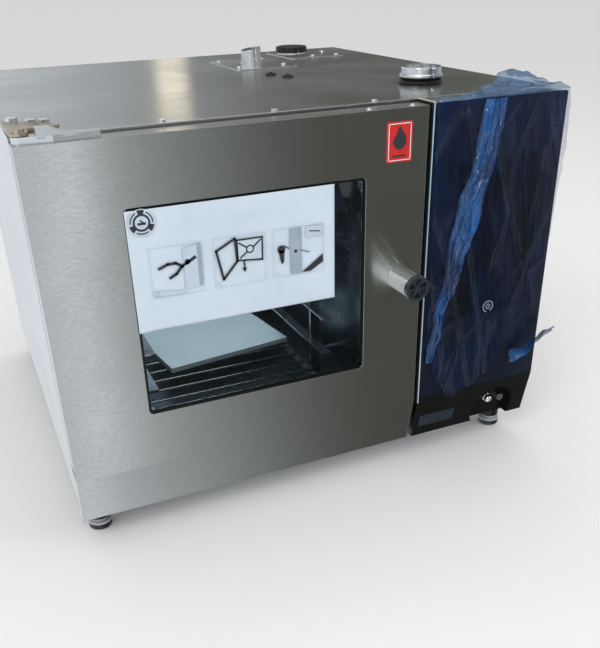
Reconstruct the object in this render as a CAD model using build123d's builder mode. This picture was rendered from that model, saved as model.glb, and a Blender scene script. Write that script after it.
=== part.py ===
"""Countertop combi steamer oven: cabinet, hinged door, control panel and the works inside.

Millimetres. +X to the right, the door faces -Y, +Z up. The origin is on the floor, under the middle
of the overall box.
"""
from build123d import *
from math import cos, radians, sin
import os

os.makedirs("parts", exist_ok=True)

# ---- driving dimensions ----
WIDTH = 875
DEPTH = 885  # door face to back sheet
ROOF_Z = 660
HUB_OUT = 64  # handle hub in front of the door face
PIPE_OUT = 28  # pipe ends behind the back sheet
SHEET = 1.5
DOOR_THICK = 37
DOOR_GAP = 8  # door back to cabinet face, filled by the gasket

FRONT = HUB_OUT - (HUB_OUT + DEPTH + PIPE_OUT) / 2  # Y of the door face
FACE = FRONT + DOOR_THICK + DOOR_GAP  # Y of the cabinet face
BACK = FRONT + DEPTH
HALF = WIDTH / 2

PAN_Z = 50  # underside of the base pan
SIDE_Z = 77  # lower edge of the side sheets
LIP_Z = 640  # lower edge of the roof's folded lip

# door and control panel, as seen from the front
DOOR_RIGHT = 174
DOOR_TOP = 656
DOOR_BOTTOM = 54
FOLD_Z = 143  # below this the door and the chin slope back
SLOPE_BACK = 18
WINDOW_X = (-309, 67)
WINDOW_Z = (234, 560)
STRIP_X = (180, 184)
PANEL_X = (185, HALF)
PANEL_Z = (FOLD_Z, 658)

# cooking chamber
CHAMBER_X = (-345, 85)
CHAMBER_Z = (150, 605)
REAR_Y = FACE + 612
GUARD_Y = FACE + 547
MID_X = sum(CHAMBER_X) / 2
MID_Z = sum(CHAMBER_Z) / 2
LEVELS = 6
LEVEL_PITCH = 67
FIRST_LEVEL_Z = 175
TRAY_HALF = 162.5

# door hinge and handle
PIVOT = (-425, FRONT + 20)
HANDLE = (130, 389)
FINGER_LONG = 16

# roof fittings
FLUE = (137, FRONT + 672)
FLUE_R = 21.2
FLUE_TOP = 693
FLUE_PLATE = (129, FRONT + 650)
VENT = (287, FRONT + 800)
VENT_R = 36.5
VENT_PLATE = (305, FRONT + 765)
BREATHER = (279, FRONT + 200)
GROMMETS = ((94, FRONT + 449), (108, FRONT + 398))

# services
DRAIN = (MID_X, FRONT + 402)
DRAIN_Z = 97
DRAIN_R = 16
WATER_X = (200, 260)
WATER_Z = 180
GLAND = (330, 130)
COOLING = (300, FRONT + 440)
FOOT_X = 405
FOOT_Y = (FRONT + 75, BACK - 60)
RUN_FIT = 0.05


def block(x_span, y_span, z_span, mode=Mode.ADD):
    """A square block between a low and a high value on each axis."""
    spans = (x_span, y_span, z_span)
    with Locations(tuple(sum(span) / 2 for span in spans)):
        Box(*(span[1] - span[0] for span in spans), mode=mode)


def bar(start, end, radius, mode=Mode.ADD):
    """A straight round bar between two points."""
    along = Vector(*end) - Vector(*start)
    with BuildSketch(Plane(origin=start, z_dir=along)) as section:
        Circle(radius)
    extrude(section.sketch, amount=along.length, mode=mode)


def save(piece, label):
    """Label one sub-part and write its file."""
    piece.part.label = label
    export_step(piece.part, f"parts/{label}.step")


def grown(span, amount):
    """A span made longer at both ends."""
    return (span[0] - amount, span[1] + amount)


# ======== cabinet ========

# folded pan under the whole oven, with a round air inlet under the cooling fan
pan_x, pan_y = (-430, 430), (FACE + 5, BACK - 5)
with BuildPart() as base_pan:
    block(pan_x, pan_y, (PAN_Z, SIDE_Z))
    block(grown(pan_x, -2), grown(pan_y, -2), (PAN_Z + 2, SIDE_Z), Mode.SUBTRACT)
    with Locations((*COOLING, PAN_Z + 1)):
        Cylinder(52, 2, mode=Mode.SUBTRACT)
save(base_pan, "base_pan")


def side_sheet(inward):
    """A side sheet folded inwards at the top, bottom and front; inward is +1 on the left, -1 right."""
    outer = -inward * HALF
    skin = sorted((outer, outer + inward * SHEET))
    fold = sorted((outer, outer + inward * 18))
    block(skin, (FACE, BACK), (SIDE_Z, ROOF_Z - 2))
    block(fold, (FACE, BACK), (SIDE_Z, SIDE_Z + SHEET))
    block(fold, (FACE + 3, BACK - 3), (ROOF_Z - 2 - SHEET, ROOF_Z - 2))
    block(fold, (FACE, FACE + SHEET), (SIDE_Z, LIP_Z))


with BuildPart() as side_left:
    side_sheet(1)
save(side_left, "side_panel_left")

# the right sheet carries two banks of air slots
with BuildPart() as side_right:
    side_sheet(-1)
    with BuildSketch(Plane.YZ.offset(HALF - SHEET)):
        for bank_y in (FRONT + 330, FRONT + 640):
            with Locations((bank_y, 200)):
                with GridLocations(0, 16, 1, 10):
                    SlotOverall(150, 5)
    extrude(amount=SHEET, mode=Mode.SUBTRACT)
save(side_right, "side_panel_right")

with BuildPart() as back_panel:
    block((-HALF + SHEET, HALF - SHEET), (BACK - SHEET, BACK), (SIDE_Z + SHEET, LIP_Z))
    holes = [(x, WATER_Z, 14) for x in WATER_X] + [(*GLAND, 12.5), (MID_X, DRAIN_Z, DRAIN_R + 0.5)]
    for hole_x, hole_z, hole_r in holes:
        bar((hole_x, BACK - SHEET, hole_z), (hole_x, BACK, hole_z), hole_r, Mode.SUBTRACT)
    for bank_x in (-250, 0, 250):
        for row in range(8):
            slot_low = 444 + row * 16
            block((bank_x - 80, bank_x + 80), (BACK - SHEET, BACK), (slot_low, slot_low + 5), Mode.SUBTRACT)
save(back_panel, "back_panel")

# roof sheet with a lip folded down at the front and the back
with BuildPart() as roof:
    block((-HALF, HALF), (FACE, BACK), (ROOF_Z - 2, ROOF_Z))
    for lip_y in ((FACE, FACE + SHEET), (BACK - SHEET, BACK)):
        block((-HALF + SHEET, HALF - SHEET), lip_y, (LIP_Z, ROOF_Z - 2))
    fillet(roof.edges().filter_by(Axis.X).group_by(Axis.Z)[-1], 1.2)
    with BuildSketch(Plane.XY.offset(ROOF_Z)):
        with Locations(FLUE):
            Circle(FLUE_R + 0.5)
        with Locations(VENT):
            Circle(28)
        with Locations(BREATHER):
            Circle(28)
        with Locations(*GROMMETS):
            Circle(6)
    extrude(amount=-2, mode=Mode.SUBTRACT)
save(roof, "roof_panel")

CATCH_X = (HANDLE[0] - 20, HANDLE[0] + 20)
CATCH_Z = (HANDLE[1] - 30, HANDLE[1] + 30)
with BuildPart() as front_frame:
    block((-HALF + 18, 178), (FACE, FACE + 2), (SIDE_Z + SHEET, LIP_Z))
    block(CHAMBER_X, (FACE, FACE + 2), CHAMBER_Z, Mode.SUBTRACT)
    block(CATCH_X, (FACE, FACE + 2), CATCH_Z, Mode.SUBTRACT)
save(front_frame, "front_frame")

# chamber: one box open to the front, with holes for the fan shaft, the drain and the lamp lead
liner_x, liner_z = grown(CHAMBER_X, SHEET), grown(CHAMBER_Z, SHEET)
with BuildPart() as liner:
    block(liner_x, (FACE + 2, REAR_Y + SHEET), liner_z)
    block(CHAMBER_X, (FACE + 2, REAR_Y), CHAMBER_Z, Mode.SUBTRACT)
    bar((MID_X, REAR_Y, MID_Z), (MID_X, REAR_Y + SHEET, MID_Z), 16, Mode.SUBTRACT)
    bar((*DRAIN, CHAMBER_Z[0] - SHEET), (*DRAIN, CHAMBER_Z[0]), 17, Mode.SUBTRACT)
save(liner, "chamber_liner")

# mineral wool slabs round the chamber, thin on the right where the control space begins
WOOL = 35
WOOL_RIGHT = 15
slab_y = (FACE + 2.5, REAR_Y + SHEET)
with BuildPart() as wool:
    block((liner_x[0] - WOOL, liner_x[0]), slab_y, grown(liner_z, -0.5))
    block((liner_x[1], liner_x[1] + WOOL_RIGHT), slab_y, grown(liner_z, -0.5))
    across = (liner_x[0] - WOOL, liner_x[1] + WOOL_RIGHT)
    block(across, slab_y, (liner_z[1], LIP_Z - 2))
    block(across, slab_y, (liner_z[0] - WOOL, liner_z[0]))
    bar((*DRAIN, liner_z[0] - WOOL), (*DRAIN, liner_z[0]), 20, Mode.SUBTRACT)
    block(across, (REAR_Y + 2, REAR_Y + WOOL), (liner_z[0] - WOOL, LIP_Z - 2))
    bar((MID_X, REAR_Y + 2, MID_Z), (MID_X, REAR_Y + WOOL, MID_Z), 16, Mode.SUBTRACT)
save(wool, "insulation")

# hollow door seal around the chamber mouth
SEAL_WIDE = 12
with BuildPart() as gasket:
    with BuildSketch(Plane.XZ.offset(-FACE)):
        with Locations((MID_X, MID_Z)):
            RectangleRounded(430 + 2 * (SEAL_WIDE + 2), 455 + 2 * (SEAL_WIDE + 2), 14)
            RectangleRounded(430 + 4, 455 + 4, 4, mode=Mode.SUBTRACT)
    extrude(amount=DOOR_GAP - 0.3)
    fillet(gasket.faces().sort_by(Axis.Y)[0].edges(), 3)
save(gasket, "chamber_gasket")

# ======== air and heat ========

GUARD_X, GUARD_Z = grown(CHAMBER_X, -28), grown(CHAMBER_Z, -18)
with BuildPart() as guard:
    block(GUARD_X, (GUARD_Y, GUARD_Y + 2), GUARD_Z)
    with BuildSketch(Plane.XZ.offset(-GUARD_Y - 2)):
        with Locations((MID_X, MID_Z)):
            for ring, count in ((30, 6), (52, 12), (74, 18), (96, 24)):
                with PolarLocations(ring, count):
                    Circle(7.5)
    extrude(amount=2, mode=Mode.SUBTRACT)
    for post_x in (GUARD_X[0] + 12, GUARD_X[1] - 12):
        for post_z in (GUARD_Z[0] + 12, GUARD_Z[1] - 12):
            bar((post_x, GUARD_Y + 2, post_z), (post_x, REAR_Y, post_z), 5)
save(guard, "fan_guard")

FAN_R = 112
FAN_Y = (GUARD_Y + 10, GUARD_Y + 48)
MOTOR_Y = REAR_Y + WOOL
with BuildPart() as fan_wheel:
    bar((MID_X, FAN_Y[1] - 2, MID_Z), (MID_X, FAN_Y[1], MID_Z), FAN_R)
    bar((MID_X, FAN_Y[0], MID_Z), (MID_X, FAN_Y[1], MID_Z), 22)
    bar((MID_X, FAN_Y[1], MID_Z), (MID_X, MOTOR_Y + 60, MID_Z), 8)
    with BuildSketch(Plane.XZ.offset(-FAN_Y[1] + 2)):
        with Locations((MID_X, MID_Z)):
            with PolarLocations(FAN_R - 20, 16):
                Rectangle(34, 2.5, rotation=25)
    extrude(amount=FAN_Y[1] - 2 - FAN_Y[0])
save(fan_wheel, "fan_wheel")

with BuildPart() as motor:
    block((MID_X - 75, MID_X + 75), (MOTOR_Y, MOTOR_Y + 8), (MID_Z - 75, MID_Z + 75))
    bar((MID_X, MOTOR_Y + 8, MID_Z), (MID_X, MOTOR_Y + 110, MID_Z), 60)
    with BuildSketch(Plane.XZ.offset(-MOTOR_Y - 100)):
        with Locations((MID_X, MID_Z)):
            with PolarLocations(62, 24):
                Rectangle(10, 3)
    extrude(amount=80)
    bar((MID_X, MOTOR_Y, MID_Z), (MID_X, MOTOR_Y + 62, MID_Z), 8 + RUN_FIT, Mode.SUBTRACT)
save(motor, "fan_motor")

# three heater rings round the fan, held by four bars on the rear wall
HEATER_R = 134
with BuildPart() as heater:
    for ring_y in (GUARD_Y + 16, GUARD_Y + 30, GUARD_Y + 44):
        with BuildSketch(Plane(origin=(MID_X, ring_y, MID_Z), x_dir=(1, 0, 0), z_dir=(0, 0, 1))):
            with Locations((HEATER_R, 0)):
                Circle(4)
        revolve(axis=Axis((MID_X, 0, MID_Z), (0, 1, 0)))
    for angle in (40, 130, 230, 310):
        foot_x = MID_X + (HEATER_R + 2) * cos(radians(angle))
        foot_z = MID_Z + (HEATER_R + 2) * sin(radians(angle))
        block((foot_x - 4, foot_x + 4), (GUARD_Y + 9, REAR_Y), (foot_z - 4, foot_z + 4))
save(heater, "heating_element")

# ======== inside the chamber ========

RACK_Y = (FACE + 12, FACE + 542)
LEDGE = (148, 165)
UPRIGHT = (165, 183)
UPRIGHT_Y = (FRONT + 150, FRONT + 500)


RACK_SIDES = (-1, 1)

# four uprights, each hung on two pegs from the chamber wall
with BuildPart() as uprights:
    for side in RACK_SIDES:
        upright_x = sorted(MID_X + side * value for value in UPRIGHT)
        wall_x = CHAMBER_X[1] if side > 0 else CHAMBER_X[0]
        for upright_y in UPRIGHT_Y:
            block(upright_x, (upright_y - 3, upright_y + 3), (CHAMBER_Z[0] + 4, CHAMBER_Z[1] - 25))
            for peg_z in (CHAMBER_Z[0] + 60, CHAMBER_Z[1] - 60):
                bar((MID_X + side * 175, upright_y, peg_z), (wall_x, upright_y, peg_z), 3)
save(uprights, "rack_uprights")

# a pair of flat ledges for each tray, welded against the uprights
with BuildPart() as ledges:
    for side in RACK_SIDES:
        ledge_x = sorted(MID_X + side * value for value in LEDGE)
        for level in range(LEVELS):
            ledge_z = FIRST_LEVEL_Z + level * LEVEL_PITCH
            block(ledge_x, RACK_Y, (ledge_z, ledge_z + 3))
save(ledges, "tray_ledges")

# wire shelf on the lowest ledges
SHELF_Z = FIRST_LEVEL_Z + 3
SHELF_WIRE = 6
SHELF_ROWS = 14
shelf_long = RACK_Y[1] - RACK_Y[0]
with BuildPart() as shelf:
    with BuildSketch(Plane.XY.offset(SHELF_Z)):
        with Locations((MID_X, sum(RACK_Y) / 2)):
            RectangleRounded(2 * TRAY_HALF, shelf_long, 16)
            RectangleRounded(
                2 * (TRAY_HALF - SHELF_WIRE),
                shelf_long - 2 * SHELF_WIRE,
                10,
                mode=Mode.SUBTRACT,
            )
    extrude(amount=SHELF_WIRE)
    for row in range(1, SHELF_ROWS):
        wire_y = RACK_Y[0] + row * shelf_long / SHELF_ROWS
        wire_end = TRAY_HALF - SHELF_WIRE / 2
        bar((MID_X - wire_end, wire_y, SHELF_Z + 3), (MID_X + wire_end, wire_y, SHELF_Z + 3), 2)
save(shelf, "grid_shelf")

PACK_Z = SHELF_Z + SHELF_WIRE
with BuildPart() as leaflets:
    with BuildSketch(Plane(origin=(-105, FRONT + 335, PACK_Z + 0.2))):
        Rectangle(250, 190, rotation=8)
    extrude(amount=9)
save(leaflets, "leaflet_pack")

with BuildPart() as lamp:
    lamp_y, lamp_z = FRONT + 95, 530
    bar((CHAMBER_X[1], lamp_y, lamp_z), (CHAMBER_X[1] - 7, lamp_y, lamp_z), 26)
    fillet(lamp.faces().sort_by(Axis.X)[0].edges(), 4)
save(lamp, "chamber_lamp")

# a stub that takes a hose starts this far clear of the sheet it comes out of
NECK = 1

# strainer in the chamber floor, then a trap and a pipe out of the back
with BuildPart() as drain:
    bar((*DRAIN, DRAIN_Z), (*DRAIN, CHAMBER_Z[0] + 0.2), 15)
    bar((*DRAIN, CHAMBER_Z[0] + 0.2), (*DRAIN, CHAMBER_Z[0] + 3), 30)
    with BuildSketch(Plane.XY.offset(CHAMBER_Z[0] + 3)):
        with Locations(DRAIN):
            for ring, count in ((8, 6), (20, 12)):
                with PolarLocations(ring, count):
                    Circle(2.5)
    extrude(amount=-2.5, mode=Mode.SUBTRACT)
    with Locations((*DRAIN, DRAIN_Z)):
        Sphere(19.5)
    bar((MID_X, DRAIN[1], DRAIN_Z), (MID_X, BACK + NECK, DRAIN_Z), DRAIN_R - 0.5)
    bar((MID_X, BACK + NECK, DRAIN_Z), (MID_X, BACK + PIPE_OUT, DRAIN_Z), DRAIN_R)
    bar((MID_X, BACK - 60, DRAIN_Z), (MID_X, BACK + PIPE_OUT, DRAIN_Z), DRAIN_R - 2.5, Mode.SUBTRACT)
save(drain, "drain_siphon")

with BuildPart() as valves:
    for valve_x in WATER_X:
        block((valve_x - 18, valve_x + 18), (BACK - 60, BACK - 4), (WATER_Z - 18, WATER_Z + 18))
        bar((valve_x, BACK - 35, WATER_Z + 18), (valve_x, BACK - 35, WATER_Z + 60), 15)
        bar((valve_x, BACK - 4, WATER_Z), (valve_x, BACK + NECK, WATER_Z), 12.6)
        bar((valve_x, BACK + NECK, WATER_Z), (valve_x, BACK + 20, WATER_Z), 13.2)
        bar((valve_x, BACK - 20, WATER_Z), (valve_x, BACK + 20, WATER_Z), 8, Mode.SUBTRACT)
save(valves, "water_valves")

# ======== electrics ========

with BuildPart() as boards:
    block((215, 410), (FACE - 12, FACE - 10.4), (175, 310))
    for chip_x, chip_z, size in ((250, 250, 14), (310, 220, 10), (370, 270, 12)):
        block((chip_x - size, chip_x + size), (FACE - 16, FACE - 12), (chip_z - size, chip_z + size))
    power_y = (FRONT + 230, FRONT + 430)
    block((424, 426), power_y, (400, 600))
    for post_y in grown(power_y, -10):
        for post_z in (410, 590):
            bar((426, post_y, post_z), (HALF - SHEET, post_y, post_z), 3)
    for row in range(4):
        coil_z = 430 + row * 45
        block((404, 424), (FRONT + 250, FRONT + 290), (coil_z - 14, coil_z + 14))
        block((396, 424), (FRONT + 330, FRONT + 410), (coil_z - 10, coil_z + 10))
    block((300, 390), (BACK - 70, BACK - 40), (PAN_Z + 2, PAN_Z + 40))
save(boards, "control_boards")

FAN_BASE = PAN_Z + 2
with BuildPart() as fan_frame:
    with BuildSketch(Plane.XY.offset(FAN_BASE)):
        with Locations(COOLING):
            RectangleRounded(120, 120, 6)
            Circle(57, mode=Mode.SUBTRACT)
    extrude(amount=38)
    with BuildSketch(Plane.XY.offset(FAN_BASE)):
        with Locations(COOLING):
            Circle(20)
            for spoke in (20, 110):
                Rectangle(116, 5, rotation=spoke)
    extrude(amount=4)
    bar((*COOLING, FAN_BASE + 4), (*COOLING, FAN_BASE + 30), 3)
save(fan_frame, "cooling_fan_frame")

with BuildPart() as rotor:
    bar((*COOLING, FAN_BASE + 7), (*COOLING, FAN_BASE + 33), 19)
    with BuildSketch(Plane.XY.offset(FAN_BASE + 9)):
        with Locations(COOLING):
            with PolarLocations(35, 7):
                Rectangle(38, 3, rotation=12)
    extrude(amount=22)
    bar((*COOLING, FAN_BASE + 7), (*COOLING, FAN_BASE + 31), 3 + RUN_FIT, Mode.SUBTRACT)
save(rotor, "cooling_fan_rotor")

with BuildPart() as gland:
    bar((GLAND[0], BACK - 12, GLAND[1]), (GLAND[0], BACK + 2, GLAND[1]), 12.4)
    bar((GLAND[0], BACK, GLAND[1]), (GLAND[0], BACK + 6, GLAND[1]), 17)
    bar((GLAND[0], BACK + 6, GLAND[1]), (GLAND[0], BACK + 26, GLAND[1]), 15)
    bar((GLAND[0], BACK - 12, GLAND[1]), (GLAND[0], BACK + 26, GLAND[1]), 9, Mode.SUBTRACT)
save(gland, "cable_gland")

# ======== control panel ========

INNER_Y = FRONT + 4
with BuildPart() as panel_frame:
    block((PANEL_X[0], HALF - 1), (INNER_Y, FACE), (FOLD_Z + 2, PANEL_Z[1] - 2))
    block((PANEL_X[0] + 3, HALF - 4), (INNER_Y, FACE), (FOLD_Z + 5, PANEL_Z[1] - 5), Mode.SUBTRACT)
    block((PANEL_X[0] + 3, HALF - 4), (FACE - 10, FACE - 8), (FOLD_Z + 5, PANEL_Z[1] - 5))
save(panel_frame, "panel_frame")

with BuildPart() as panel_glass:
    block(PANEL_X, (FRONT, INNER_Y), PANEL_Z)
    fillet(panel_glass.edges().filter_by(Axis.Y).group_by(Axis.Z)[-1], 4)
    chamfer(panel_glass.faces().sort_by(Axis.Y)[0].edges(), 0.6)
save(panel_glass, "panel_glass")

with BuildPart() as display:
    block((235, 400), (INNER_Y, INNER_Y + 9), (340, 565))
    block((305, 333), (INNER_Y, INNER_Y + 4), (288, 315))
save(display, "display_module")

with BuildPart() as strip:
    block(STRIP_X, (FRONT - 1.5, FACE), (FOLD_Z - 8, ROOF_Z))
    fillet(strip.edges().filter_by(Axis.Z).group_by(Axis.Y)[0], 1.2)
save(strip, "edge_strip")

# black moulding under the glass: it slopes back, with an arched recess for the sockets
CHIN_BOTTOM = 52
ARCH = (361, 76, 48)
ARCH_FLOOR = FRONT + 34
with BuildPart() as chin:
    with BuildSketch(Plane.YZ.offset(PANEL_X[0] - 1)):
        Polygon(
            (FRONT + 1, FOLD_Z - 0.3),
            (FRONT + 1, FOLD_Z - 3),
            (FRONT + 1 + SLOPE_BACK, CHIN_BOTTOM),
            (FACE - 1, CHIN_BOTTOM),
            (FACE - 1, FOLD_Z - 0.3),
            align=None,
        )
    extrude(amount=HALF - PANEL_X[0] + 1)
    bar((ARCH[0], FRONT, ARCH[1]), (ARCH[0], ARCH_FLOOR, ARCH[1]), ARCH[2], Mode.SUBTRACT)
save(chin, "chin_moulding")

with BuildPart() as sockets:
    bar((ARCH[0] - 3, ARCH_FLOOR, 92), (ARCH[0] - 3, ARCH_FLOOR - 8, 92), 9)
    with Locations((ARCH[0] - 3, ARCH_FLOOR - 12, 92)):
        Sphere(8)
    bar((ARCH[0] + 28, ARCH_FLOOR, 86), (ARCH[0] + 28, ARCH_FLOOR - 10, 86), 7)
save(sockets, "chin_sockets")

# rating plate lying on the sloping chin
slope = Vector(0, SLOPE_BACK, CHIN_BOTTOM - FOLD_Z + 3).normalized()
plate_centre = Vector(233, FRONT + 1 + SLOPE_BACK / 2, (CHIN_BOTTOM + FOLD_Z - 3) / 2) + slope * 10
with BuildPart() as rating:
    with BuildSketch(Plane(origin=tuple(plate_centre), x_dir=(1, 0, 0), z_dir=(0, slope.Z, -slope.Y))):
        RectangleRounded(76, 26, 2)
    extrude(amount=1)
save(rating, "rating_plate")

# ======== roof fittings ========

PLATE_T = 1.5
with BuildPart() as roof_plates:
    block(
        (FLUE_PLATE[0] - 66, FLUE_PLATE[0] + 66),
        (FLUE_PLATE[1] - 100, FLUE_PLATE[1] + 95),
        (ROOF_Z, ROOF_Z + PLATE_T),
    )
    block(
        (VENT_PLATE[0] - 66, VENT_PLATE[0] + 66),
        (VENT_PLATE[1] - 80, VENT_PLATE[1] + 80),
        (ROOF_Z, ROOF_Z + PLATE_T),
    )
    fillet(roof_plates.edges().filter_by(Axis.Z), 6)
    with Locations((*VENT, ROOF_Z + 2)):
        Cylinder(34, 4)
        Cylinder(27, 4, mode=Mode.SUBTRACT)
    with Locations((*FLUE, ROOF_Z + 1)):
        Cylinder(FLUE_R + 0.5, 4, mode=Mode.SUBTRACT)
save(roof_plates, "roof_plates")

# round pipe with a welded foot ring and a slanted open top
FLUE_RING = ROOF_Z + 4
with BuildPart() as flue:
    bar((*FLUE, 560), (*FLUE, FLUE_RING + NECK), FLUE_R - 0.4)
    bar((*FLUE, FLUE_RING + NECK), (*FLUE, FLUE_TOP), FLUE_R)
    bar((*FLUE, ROOF_Z + PLATE_T), (*FLUE, FLUE_RING), FLUE_R + 3)
    bar((*FLUE, 560), (*FLUE, FLUE_TOP), FLUE_R - 1.5, Mode.SUBTRACT)
    split(
        bisect_by=Plane(origin=(*FLUE, FLUE_TOP - 4), z_dir=(-0.15, 0, 1)),
        keep=Keep.BOTTOM,
    )
    bar((FLUE[0] - 40, FLUE[1], 625), (FLUE[0] + 40, FLUE[1], 625), 3 + RUN_FIT, Mode.SUBTRACT)
save(flue, "flue_pipe")

with BuildPart() as flap:
    bar((*FLUE, 624.2), (*FLUE, 625.8), FLUE_R - 2.2)
    bar((FLUE[0] - FLUE_R - 1, FLUE[1], 625), (FLUE[0] + 75, FLUE[1], 625), 3)
save(flap, "flue_flap")

with BuildPart() as actuator:
    block((FLUE[0] + 50, FLUE[0] + 110), (FLUE[1] - 22, FLUE[1] + 22), (596, ROOF_Z - 2))
    bar(
        (FLUE[0] + 50, FLUE[1], 625),
        (FLUE[0] + 77, FLUE[1], 625),
        3 + RUN_FIT,
        Mode.SUBTRACT,
    )
save(actuator, "flap_actuator")

with BuildPart() as vent_cap:
    with Locations((*VENT, ROOF_Z + 10.5)):
        Cylinder(VENT_R, 13)
    fillet(vent_cap.faces().sort_by(Axis.Z)[-1].edges(), 4)
    with Locations((*VENT, ROOF_Z + 10.5)):
        with PolarLocations(VENT_R, 18):
            Cylinder(2, 13, mode=Mode.SUBTRACT)
save(vent_cap, "vent_cap")

# rubber boot in two swellings under a steel ring with a dished cap
with BuildPart() as bellows:
    with BuildSketch(Plane.XZ.offset(-BREATHER[1])):
        with BuildLine():
            Polyline(
                (BREATHER[0] + 29, ROOF_Z),
                (BREATHER[0] + 37, ROOF_Z),
                (BREATHER[0] + 38.5, ROOF_Z + 2),
                (BREATHER[0] + 38.5, ROOF_Z + 4),
                (BREATHER[0] + 34, ROOF_Z + 7),
                (BREATHER[0] + 37, ROOF_Z + 9),
                (BREATHER[0] + 37, ROOF_Z + 11),
                (BREATHER[0] + 29, ROOF_Z + 11),
                close=True,
            )
        make_face()
    revolve(axis=Axis((*BREATHER, 0), (0, 0, 1)))
save(bellows, "breather_bellows")

with BuildPart() as breather:
    bar((*BREATHER, ROOF_Z + 11), (*BREATHER, ROOF_Z + 16), 38)
    chamfer(breather.faces().sort_by(Axis.Z)[-1].edges(), 2)
    bar((*BREATHER, ROOF_Z + 16), (*BREATHER, ROOF_Z + 27), 35)
    fillet(breather.faces().sort_by(Axis.Z)[-1].edges(), 2)
    bar((*BREATHER, ROOF_Z + 19), (*BREATHER, ROOF_Z + 27), 31, Mode.SUBTRACT)
    bar((*BREATHER, ROOF_Z + 11), (*BREATHER, ROOF_Z + 20), 8, Mode.SUBTRACT)
save(breather, "breather_ring")

with BuildPart() as grommets:
    for spot in GROMMETS:
        bar((*spot, ROOF_Z), (*spot, ROOF_Z + 3.5), 11)
    fillet(grommets.faces().group_by(Axis.Z)[-1].edges(), 2)
    for spot in GROMMETS:
        bar((*spot, ROOF_Z + 3.5), (*spot, ROOF_Z + 5.5), 4)
save(grommets, "roof_grommets")

HINGE_TOP = ROOF_Z + 10
PLATE_SCREWS = [(FLUE_PLATE[0] + x, FLUE_PLATE[1] + 4 + y) for x in (-50, 50) for y in (-66, 66)]
VENT_SCREWS = [(VENT_PLATE[0] + x, VENT_PLATE[1] + y) for x, y in ((-5, -60), (52, -65), (52, 13))]
EDGE_SCREWS = [(x, FACE + 10) for x in (-228, -58, 109)]
with BuildPart() as screws:
    for spot in PLATE_SCREWS + VENT_SCREWS:
        bar((*spot, ROOF_Z + PLATE_T), (*spot, ROOF_Z + PLATE_T + 3.5), 5)
    for spot in EDGE_SCREWS:
        bar((*spot, ROOF_Z), (*spot, ROOF_Z + 3.5), 5)
    fillet(screws.edges().filter_by(GeomType.CIRCLE).group_by(Axis.Z)[-1], 2)
    with BuildSketch(Plane.XY.offset(HINGE_TOP)):
        with Locations((-424, FACE + 56), (-402, FACE + 30), (-386, FACE + 22)):
            RegularPolygon(8, 6)
    extrude(amount=6)
save(screws, "roof_screws")

# ======== hinges ========

PLATE_LOW = ROOF_Z + 6
EYE_Z = (DOOR_TOP, DOOR_TOP + 9)
TONGUE_Z = (148, 152)
LOWER_EYES = ((138, TONGUE_Z[0] - 0.6), (TONGUE_Z[1] + 0.6, 162))

# upper plate over the roof corner on its spacer, lower tongue out of the cabinet face, both with a pin
with BuildPart() as brackets:
    with BuildSketch(Plane.XY.offset(PLATE_LOW)):
        Polygon(
            (-HALF, FACE + 74),
            (-388, FACE + 33),
            (-368, FACE + 8),
            (-372, FACE),
            (-413, FACE),
            (-413, PIVOT[1]),
            (-HALF, PIVOT[1]),
            align=None,
        )
        with Locations(PIVOT):
            Circle(12.5)
    extrude(amount=4)
    with BuildSketch(Plane.XY.offset(ROOF_Z)):
        Polygon(
            (-430, FACE + 62),
            (-392, FACE + 30),
            (-376, FACE + 8),
            (-378, FACE + 3),
            (-430, FACE + 3),
            align=None,
        )
    extrude(amount=6)
    with BuildSketch(Plane.XY.offset(TONGUE_Z[0])):
        Polygon(
            (PIVOT[0] - 6, PIVOT[1]),
            (PIVOT[0] - 6, FACE),
            (PIVOT[0] + 6, FACE),
            (PIVOT[0] + 6, PIVOT[1]),
            align=None,
        )
        with Locations(PIVOT):
            Circle(9)
    extrude(amount=TONGUE_Z[1] - TONGUE_Z[0])
    bar((*PIVOT, DOOR_TOP + 0.5), (*PIVOT, HINGE_TOP + 4), 5)
    bar((*PIVOT, HINGE_TOP), (*PIVOT, HINGE_TOP + 4), 8)
    bar((*PIVOT, LOWER_EYES[0][0] + 1), (*PIVOT, LOWER_EYES[1][1] - 1), 5)
save(brackets, "hinge_brackets")

# cast arm on the door's top edge: an eye, a square knuckle and a tapering tail
with BuildPart() as arm:
    with BuildSketch(Plane.XY.offset(EYE_Z[0])):
        Polygon(
            (-425, FRONT + 9),
            (-385, FRONT + 4),
            (-323, FRONT + 8),
            (-321, FRONT + 24),
            (-385, FRONT + 31),
            (-425, FRONT + 31),
            align=None,
        )
        with Locations(PIVOT):
            Circle(11)
    extrude(amount=EYE_Z[1] - EYE_Z[0])
    fillet(arm.edges().filter_by(Axis.Z).group_by(Axis.X)[-1], 5)
    with BuildSketch(Plane.XZ.offset(-FRONT - 24)):
        Polygon(
            (-405, EYE_Z[1] - 3),
            (-405, EYE_Z[1] + 10),
            (-386, EYE_Z[1] + 10),
            (-372, EYE_Z[1] + 3),
            (-352, EYE_Z[1] - 1),
            (-352, EYE_Z[1] - 3),
            align=None,
        )
    extrude(amount=19)
    for eye in LOWER_EYES:
        block((-HALF + SHEET, -404), (FRONT + 4, FRONT + DOOR_THICK - SHEET), eye)
    bar((*PIVOT, DOOR_BOTTOM), (*PIVOT, EYE_Z[1]), 5 + RUN_FIT, Mode.SUBTRACT)
save(arm, "hinge_arms")

# ======== door ========


def door_profile(inset):
    """The door seen from its side: flat, then sloping back at the bottom."""
    Polygon(
        (FRONT + inset, FOLD_Z),
        (FRONT + inset, DOOR_TOP - inset),
        (FRONT + DOOR_THICK, DOOR_TOP - inset),
        (FRONT + DOOR_THICK, DOOR_BOTTOM + inset),
        (FRONT + SLOPE_BACK + inset, DOOR_BOTTOM + inset),
        align=None,
    )


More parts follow.
